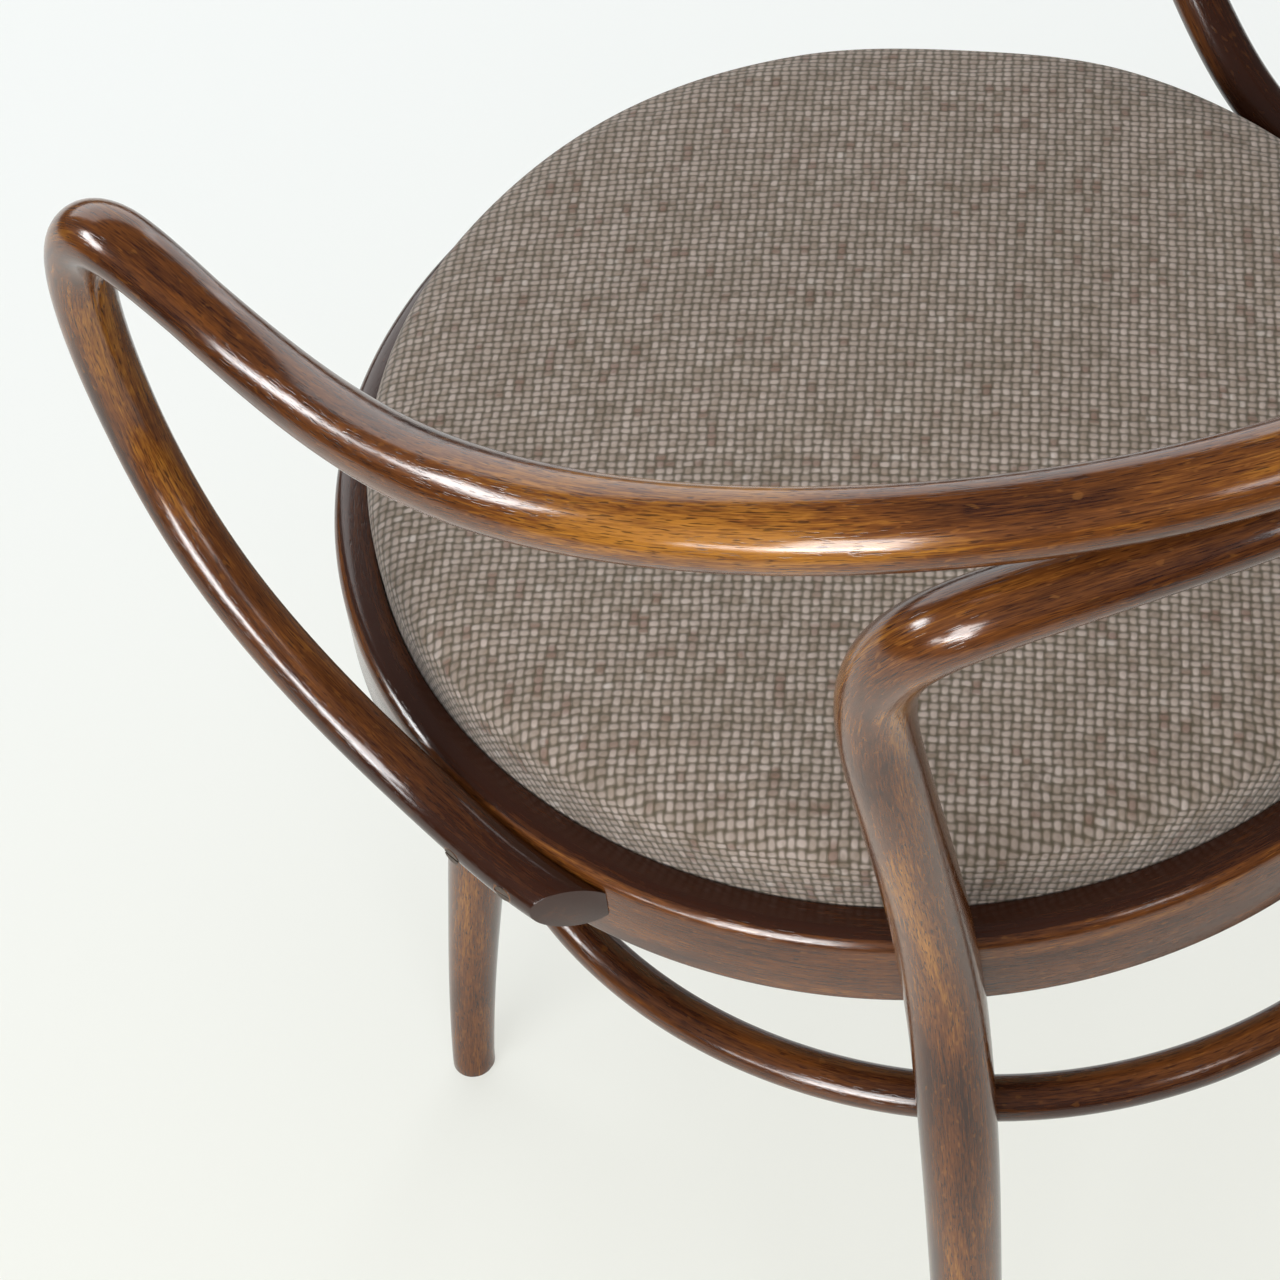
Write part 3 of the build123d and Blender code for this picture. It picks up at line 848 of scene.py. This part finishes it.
def turned_pad(name, segments=160):
    """The profile turned about the seat's axis, closed at both poles."""
    shape = bmesh.new()
    rings = []
    turns = [2 * pi * i / segments for i in range(segments)]
    for radius, height in pad_profile():
        if radius < 1e-6:
            rings.append([shape.verts.new((0, seat_y, height))])
            continue
        share = (radius / pad_radius) ** 2 * min(1.0, max(0.0, (height - seat_height) / side_rise))
        reach = [radius + share * pad_bulge(t) for t in turns]
        places = [(r * cos(t), seat_y + r * sin(t), height) for r, t in zip(reach, turns)]
        rings.append([shape.verts.new(place) for place in places])
    for upper, lower in zip(rings, rings[1:]):
        for i in range(segments):
            k = (i + 1) % segments
            if len(upper) == 1:
                shape.faces.new((upper[0], lower[i], lower[k]))
            elif len(lower) == 1:
                shape.faces.new((upper[i], lower[0], upper[k]))
            else:
                shape.faces.new((upper[i], lower[i], lower[k], upper[k]))
    bmesh.ops.recalc_face_normals(shape, faces=shape.faces)
    mesh = bpy.data.meshes.new(name)
    shape.to_mesh(mesh)
    shape.free()
    return add_object(name, mesh)


pad = turned_pad("woven_pad")
print("pad points:", len(pad.data.vertices))

# %% [markdown]
# A cloth simulation with a little air pressure fills the pad. What lies below the ring's top is
# pinned, because the rebate holds it. The pressure also shoves points sideways, so only the part of
# each move that goes outwards is kept, as far as the swell that the profile left room for.

# %% Fill the pad
held_rise = 0.001
air_pressure, cloth_tension, cloth_quality, cloth_frames = 4.0, 25, 5, 20


def fill_pad(piece):
    """Puff the pad up with cloth pressure, and let each point go outwards as far as the swell."""
    start = points_of(piece.data)
    outward = np.empty(start.size)
    piece.data.vertices.foreach_get("normal", outward)
    outward = outward.reshape(-1, 3)
    held = piece.vertex_groups.new(name="held")
    held.add([i for i, p in enumerate(start) if p[2] < seat_height + held_rise], 1.0, "REPLACE")
    cloth = piece.modifiers.new("fill", "CLOTH")
    cloth.settings.vertex_group_mass = "held"
    cloth.settings.use_pressure = True
    cloth.settings.uniform_pressure_force = air_pressure
    cloth.settings.quality = cloth_quality
    cloth.settings.tension_stiffness = cloth_tension
    cloth.settings.effector_weights.gravity = 0
    scene = bpy.context.scene
    for number in range(1, cloth_frames + 1):
        scene.frame_set(number)
    apply_modifiers(piece)
    swelled = ((points_of(piece.data) - start) * outward).sum(axis=1)
    move_points(piece.data, start + outward * np.clip(swelled, 0, pad_swell)[:, None])
    scene.frame_set(1)
    spread = np.percentile(swelled * 1000, (5, 50, 100)).round(2)
    print("pad swelled by", spread, "mm, kept to", pad_swell * 1000)


fill_pad(pad)
finer = pad.modifiers.new("finer", "SUBSURF")
finer.levels = 1
finer.render_levels = 1
apply_modifiers(pad)
for face in pad.data.polygons:
    face.use_smooth = True
pad_points = points_of(pad.data)
print("pad faces:", len(pad.data.polygons))
print("pad box:", pad_points.min(0).round(4), pad_points.max(0).round(4))

# %% [markdown]
# The cloth was flat before it was drawn over the pad. Its weave needs flat coordinates, so each
# point is rolled out: the way from the middle of the top, over the rim and down the side, becomes
# a distance in the flat cloth. The result is kept as a UV map.

# %% Roll the cover out flat
rim_drop = 0.009
rim_level = seat_height + rim_rise - rim_drop


def roll_out(mesh):
    """A UV map in metres of the flat cloth."""
    points = points_of(mesh)
    x, y = points[:, 0], points[:, 1] - seat_y
    reach = np.hypot(x, y)
    flat_reach = reach + np.maximum(0, rim_level - points[:, 2])
    ratio = flat_reach / np.maximum(reach, 1e-6)
    flat = np.stack((x * ratio, y * ratio), axis=1)
    corners = np.empty(len(mesh.loops), dtype=np.int32)
    mesh.loops.foreach_get("vertex_index", corners)
    layer = mesh.uv_layers.new(name="flat_cloth")
    layer.data.foreach_set("uv", flat[corners].ravel())


roll_out(pad.data)
print("flat cloth map:", len(pad.data.uv_layers["flat_cloth"].data), "corners")

# %% [markdown]
# The cover is a plain weave of thick wool yarns, about 3.4 mm apart both ways. Along each yarn a
# cosine lifts it where it goes over the other one and drops it where it goes under, and the higher
# of the two yarns is what shows. Each crossing also swells to a soft round dot.

# %% Yarns
column_pitch, column_way = 0.00357, radians(131.0)
row_pitch, row_way = 0.00327, radians(40.3)
yarn_wobble, yarn_round, yarn_lift = 0.0022, 0.8, 0.46
column_level, row_level, dot_share = 0.54, 0.53, 0.28


def yarn_counts(tree, cloth):
    """How many yarns a place lies from the middle, across the columns and across the rows."""
    reach = {1: (yarn_wobble, yarn_wobble, 0)}
    wobble = node_in(tree, "ShaderNodeVectorMath", reach, operation="MULTIPLY_ADD")
    tree.links.new(noise(tree, cloth, 75.0, 3.0, 0.6, 0.0, "Color").socket, wobble.inputs[0])
    tree.links.new(cloth, wobble.inputs[2])
    parts = node_in(tree, "ShaderNodeSeparateXYZ")
    tree.links.new(wobble.outputs["Vector"], parts.inputs["Vector"])
    x, y = Value(tree, parts.outputs["X"]), Value(tree, parts.outputs["Y"])
    u = x * (cos(column_way) / column_pitch) + y * (sin(column_way) / column_pitch)
    v = x * (cos(row_way) / row_pitch) + y * (sin(row_way) / row_pitch)
    return u, v


def yarn_heights(u, v):
    """The heights of the column yarns, of the row yarns and of what shows of them."""
    wave_u, wave_v = (u * pi).math("COSINE"), (v * pi).math("COSINE")
    over = wave_u * wave_v
    column = wave_u.math("ABSOLUTE").math("POWER", yarn_round) * (over * yarn_lift + column_level)
    row = wave_v.math("ABSOLUTE").math("POWER", yarn_round) * (over * -yarn_lift + row_level)
    dot = over.math("ABSOLUTE")
    return column, row, column.math("MAXIMUM", row) * (1 - dot_share) + dot * dot_share


def flat_place(tree, x, y):
    """The socket of a place with these two coordinates."""
    place = node_in(tree, "ShaderNodeCombineXYZ")
    tree.links.new(x.socket, place.inputs["X"])
    tree.links.new(y.socket, place.inputs["Y"])
    return place.outputs["Vector"]


print("yarns per 100 mm:", round(0.1 / column_pitch, 1), "and", round(0.1 / row_pitch, 1))

# %% [markdown]
# Each yarn has its own colour, which changes slowly along it. For that the noise is read at a place
# that jumps from one yarn to the next and hardly moves along a yarn. Brown and white crossings are
# strewn in, as in tweed, wear darkens broad and small patches, and the gaps get dark olive painted
# shade.

# %% Woven wool
yarn_jump, yarn_run = 3.7, 0.30
column_yarns = (0.225, 0.176, 0.136), (0.385, 0.322, 0.282)
row_yarns = (0.215, 0.167, 0.128), (0.370, 0.309, 0.270)
rust_yarn, white_yarn = (0.130, 0.062, 0.040), (0.52, 0.48, 0.44)
broad_wear, small_wear, gap_shade_colour = (0.105, 0.070, 0.048), (0.110, 0.078, 0.054), (0.052, 0.042, 0.022)


def woven_wool():
    """A plain weave on the flat cloth's coordinates."""
    material, tree, shader = new_material("woven_cover")
    cloth = node_in(tree, "ShaderNodeUVMap", uv_map="flat_cloth").outputs["UV"]
    u, v = yarn_counts(tree, cloth)
    column, row, height = yarn_heights(u, v)
    on_column = (column - row).ramp(-0.45, 0.45)
    along_columns = flat_place(tree, u.math("ROUND") * yarn_jump, v * yarn_run)
    along_rows = flat_place(tree, u * yarn_run, v.math("ROUND") * yarn_jump)
    slub_u = noise(tree, along_columns, 1.0, 2.0, 0.6).ramp(0.25, 0.75)
    slub_v = noise(tree, along_rows, 1.0, 2.0, 0.6).ramp(0.25, 0.75)
    column_colour = mixed(tree, slub_u, *column_yarns)
    row_colour = mixed(tree, slub_v, *row_yarns)
    colour = mixed(tree, on_column, row_colour, column_colour)
    rust = noise(tree, along_columns, 0.9, 0.0).ramp(0.66, 0.76)
    white = noise(tree, along_rows, 1.7, 0.0).ramp(0.72, 0.82)
    colour = mixed(tree, rust * 0.6, colour, rust_yarn)
    colour = mixed(tree, white * 0.35, colour, white_yarn)
    broad = noise(tree, cloth, 45.0, 3.0, 0.6)
    mottled = noise(tree, cloth, 150.0, 2.0, 0.6)
    colour = mixed(tree, broad.ramp(0.45, 0.75) * 0.25, colour, broad_wear)
    colour = mixed(tree, mottled.ramp(0.50, 0.72) * 0.40, colour, small_wear)
    # Painted shade: the lower the weave lies, the darker it is, down to dark olive in the gaps.
    colour = mixed(tree, height.ramp(0.80, 0.10) * 0.90, colour, gap_shade_colour)
    tree.links.new(colour, shader.inputs["Base Color"])
    sheen = {"Sheen Weight": 0.15, "Sheen Roughness": 0.6}
    set_values(shader, {"Roughness": 0.95, "Specular IOR Level": 0.12, **sheen})
    hair = noise(tree, cloth, 2600.0, 2.0, 0.7)
    bump(tree, shader, height + hair * 0.25, 0.0007, 0.8)
    return material


pad.data.materials.clear()
pad.data.materials.append(woven_wool())
print("cover material:", pad.data.materials[0].name)

# %% [markdown]
# Underneath, the board is bare birch plywood, and the staples and screws are steel. They are small
# and mostly hidden, so the CAD solids stay, with a material each.

# %% Plywood and steel


def birch_plywood():
    """Pale rotary-cut birch with a soft figure."""
    material, tree, shader = new_material("plain_plywood")
    place = node_in(tree, "ShaderNodeTexCoord").outputs["Object"]
    figure = noise(tree, stretched(tree, place, 9, 60, 60), 1.0, 4.0, 0.55, 1.6)
    fine = noise(tree, stretched(tree, place, 60, 1400, 400), 1.0, 2.0)
    colour = mixed(tree, figure.ramp(0.35, 0.65), (0.52, 0.36, 0.20), (0.68, 0.50, 0.31))
    colour = mixed(tree, fine.ramp(0.55, 0.8) * 0.35, colour, (0.40, 0.26, 0.14))
    tree.links.new(colour, shader.inputs["Base Color"])
    set_values(shader, {"Roughness": 0.65})
    bump(tree, shader, fine, 0.0001, 0.5)
    return material


def plain_steel(name, low, high, rough):
    """Drawn or oiled steel with fine uneven wear."""
    material, tree, shader = new_material(name)
    place = node_in(tree, "ShaderNodeTexCoord").outputs["Object"]
    worn = noise(tree, place, 900.0, 3.0, 0.6)
    tree.links.new(mixed(tree, worn.ramp(0.3, 0.7), low, high), shader.inputs["Base Color"])
    tree.links.new((worn * 0.25 + rough).socket, shader.inputs["Roughness"])
    set_values(shader, {"Metallic": 1.0})
    bump(tree, shader, worn, 0.00005, 0.4)
    return material


plywood = birch_plywood()
wire_steel = plain_steel("steel_wire", (0.42, 0.42, 0.42), (0.62, 0.62, 0.60), 0.25)
screw_steel = plain_steel("dark_steel", (0.055, 0.042, 0.034), (0.16, 0.12, 0.095), 0.35)
kept = {"seat_board": plywood, "cover_staples": wire_steel}
kept.update({name: screw_steel for name in nodes if name.endswith("_screws")})
for name, material in kept.items():
    nodes[name].data.materials.clear()
    nodes[name].data.materials.append(material)
print("CAD nodes kept:", sorted(kept))

# %% [markdown]
# Every piece now hangs from the body it rides on, and the CAD nodes that it stands for are hidden.
# The chair is rigid, so the one body is called root.

# %% Tie the pieces to the frame
stands_for = {
    top_rail: ("top_rail",),
    rear_bow: ("rear_leg_bow",),
    ring: ("seat_ring",),
    front_legs[1]: ("front_leg_left",),
    front_legs[-1]: ("front_leg_right",),
    hoop: ("lower_hoop",),
    pad: ("seat_cover", "seat_foam"),
}
for piece, names in stands_for.items():
    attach(piece, "root")
    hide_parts(*names)

# %% [markdown]
# The photograph looks down from behind the chair's left rear corner with a long lens. The camera's
# place, turn and lens were worked out from the edges of the rods in it. It is built as a matrix: the
# columns are its right, its up and its back direction.

# %% Camera
camera_azimuth, camera_elevation, camera_roll = radians(142.011), radians(51.363), radians(-7.642)
camera_distance = 1.29867
camera_aim = Vector((0.131554, seat_y - 0.012345, seat_height))
focal_pixels, frame_pixels, sensor_width = 3556.2, 1280, 36.0
level_share = cos(camera_elevation)
back = Vector(
    (sin(camera_azimuth) * level_share, -cos(camera_azimuth) * level_share, sin(camera_elevation))
)
level_right = Vector((0, 0, 1)).cross(back).normalized()
level_up = back.cross(level_right)
right = level_right * cos(camera_roll) + level_up * sin(camera_roll)
up = level_up * cos(camera_roll) - level_right * sin(camera_roll)
lens = bpy.data.cameras.new("camera")
lens.sensor_fit = "HORIZONTAL"
lens.sensor_width = sensor_width
lens.lens = focal_pixels * sensor_width / frame_pixels
lens.clip_start = 0.05
camera = add_object("camera", lens)
turn = Matrix((right, up, back)).transposed().to_4x4()
camera.matrix_world = Matrix.Translation(camera_aim + back * camera_distance) @ turn
bpy.context.scene.camera = camera
print("camera at", [round(c, 3) for c in camera.matrix_world.translation])

# %% [markdown]
# The chair stands on a sheet of white paper on a darker studio floor. To the camera and in mirror
# images the paper is mostly plain white, so the shadow on it stays faint. Its glow is painted light,
# a little dimmer and warmer towards the camera. The dark floor beyond it is mirrored in the sides of
# the rods.

# %% Floor
floor_half, floor_drop = 6.0, 0.0005
floor_mesh = bpy.data.meshes.new("floor")
floor_corners = [(-1, -1), (1, -1), (1, 1), (-1, 1)]
floor_places = [(x * floor_half, y * floor_half, -floor_drop) for x, y in floor_corners]
floor_mesh.from_pydata(floor_places, [], [(0, 1, 2, 3)])
floor = add_object("floor", floor_mesh)
print("floor:", 2 * floor_half, "m square")

# %% Paper on the floor
paper_shift, paper_edge = (0.42, 0.54), (1.55, 1.95)
paper_colour, studio_colour = (0.74, 0.76, 0.73), (0.10, 0.09, 0.08)
far_white, near_white, studio_dark = (0.97, 1.0, 1.0), (0.90, 0.905, 0.83), (0.06, 0.055, 0.05)
near_way, near_range, plain_share = (0.615, 0.788), (-0.85, 0.15), 0.58
floor_material, floor_tree, floor_shader = new_material("pale_floor")
set_values(floor_shader, {"Roughness": 0.8})
floor_place = node_in(floor_tree, "ShaderNodeSeparateXYZ")
floor_points = node_in(floor_tree, "ShaderNodeTexCoord").outputs["Object"]
floor_tree.links.new(floor_points, floor_place.inputs["Vector"])
floor_x, floor_y = (Value(floor_tree, floor_place.outputs[axis]) for axis in "XY")
paper_x, paper_y = floor_x + paper_shift[0], floor_y + paper_shift[1]
off_paper = (paper_x * paper_x + paper_y * paper_y).math("SQRT").ramp(*paper_edge)
paper = mixed(floor_tree, off_paper, paper_colour, studio_colour)
floor_tree.links.new(paper, floor_shader.inputs["Base Color"])
# Painted light: the paper's glow fades from far_white to a dimmer, warmer near_white towards the
# camera.
nearness = (floor_x * near_way[0] + floor_y * near_way[1]).ramp(*near_range)
white = mixed(floor_tree, nearness, far_white, near_white)
glow = node_in(floor_tree, "ShaderNodeEmission")
floor_tree.links.new(mixed(floor_tree, off_paper, white, studio_dark), glow.inputs["Color"])
paths = node_in(floor_tree, "ShaderNodeLightPath")
seen = Value(floor_tree, paths.outputs["Is Camera Ray"])
seen = seen.math("MAXIMUM", Value(floor_tree, paths.outputs["Is Glossy Ray"]))
seen = seen.math("MAXIMUM", Value(floor_tree, paths.outputs["Is Transmission Ray"]))
blend = node_in(floor_tree, "ShaderNodeMixShader")
floor_tree.links.new((seen * plain_share).socket, blend.inputs["Fac"])
floor_tree.links.new(floor_shader.outputs["BSDF"], blend.inputs[1])
floor_tree.links.new(glow.outputs["Emission"], blend.inputs[2])
floor_out = next(node for node in floor_tree.nodes if node.type == "OUTPUT_MATERIAL")
floor_tree.links.new(blend.outputs["Shader"], floor_out.inputs["Surface"])
floor_mesh.materials.append(floor_material)
print("floor material:", floor_material.name)

# %% [markdown]
# Gloss lacquer shows what stands round it, so there are two kinds of lamp. Four windows are only
# mirrored: they put the bright streaks on the rods and give no light. Three fills light wood and
# cloth softly and aren't seen in the lacquer. A white wall and a bright strip in front of the chair do
# both, and give the broad sheen along the arms.

# %% Light
sky_colour, sky_strength = (0.97, 0.99, 1.0, 1.0), 0.14
world = bpy.data.worlds.new("studio")
bpy.context.scene.world = world
world.use_nodes = True
set_values(world.node_tree.nodes["Background"], {"Color": sky_colour, "Strength": sky_strength})


def soft_light(name, place, aim, size, watts, in_gloss=True, fills=True):
    """A rectangular soft light that looks at a point; it may be only mirrored, or only fill."""
    lamp = bpy.data.lights.new(name, "AREA")
    lamp.shape = "RECTANGLE"
    lamp.size, lamp.size_y = size
    lamp.energy = watts
    item = add_object(name, lamp)
    item.location = place
    item.rotation_euler = (Vector(aim) - Vector(place)).to_track_quat("-Z", "Y").to_euler()
    item.visible_glossy = in_gloss
    item.visible_diffuse = fills


chest = (0.1, 0.0, 0.6)
soft_light("left_window", (2.60, 0.98, 0.97), (0.2, 0.15, 0.7), (0.95, 1.3), 62, fills=False)
soft_light("front_window", (1.52, -1.42, 1.20), (0.26, 0.03, 0.71), (0.78, 0.42), 23, fills=False)
soft_light("small_window", (0.33, 1.75, 1.20), (0.2, 0.20, 0.7), (0.35, 0.35), 2.4, fills=False)
soft_light("low_window", (2.20, 0.55, 0.58), (0.24, -0.05, 0.48), (1.30, 0.25), 14, fills=False)
soft_light("white_wall", (-0.80, -2.00, 1.45), chest, (2.8, 1.8), 34)
soft_light("bright_strip", (-2.0, -1.06, 1.30), chest, (0.75, 2.4), 13)
soft_light("left_fill", (2.1, 0.1, 1.35), chest, (1.6, 1.4), 36, in_gloss=False)
soft_light("near_fill", (1.25, 1.55, 1.35), chest, (1.5, 1.4), 26, in_gloss=False)
soft_light("overhead", (0.3, 0.4, 2.5), (0.0, 0, 0.45), (1.8, 1.8), 23, in_gloss=False)

# %% [markdown]
# The Standard view shows the colours as they are written.

# %% Colours
bpy.context.scene.view_settings.view_transform = "Standard"
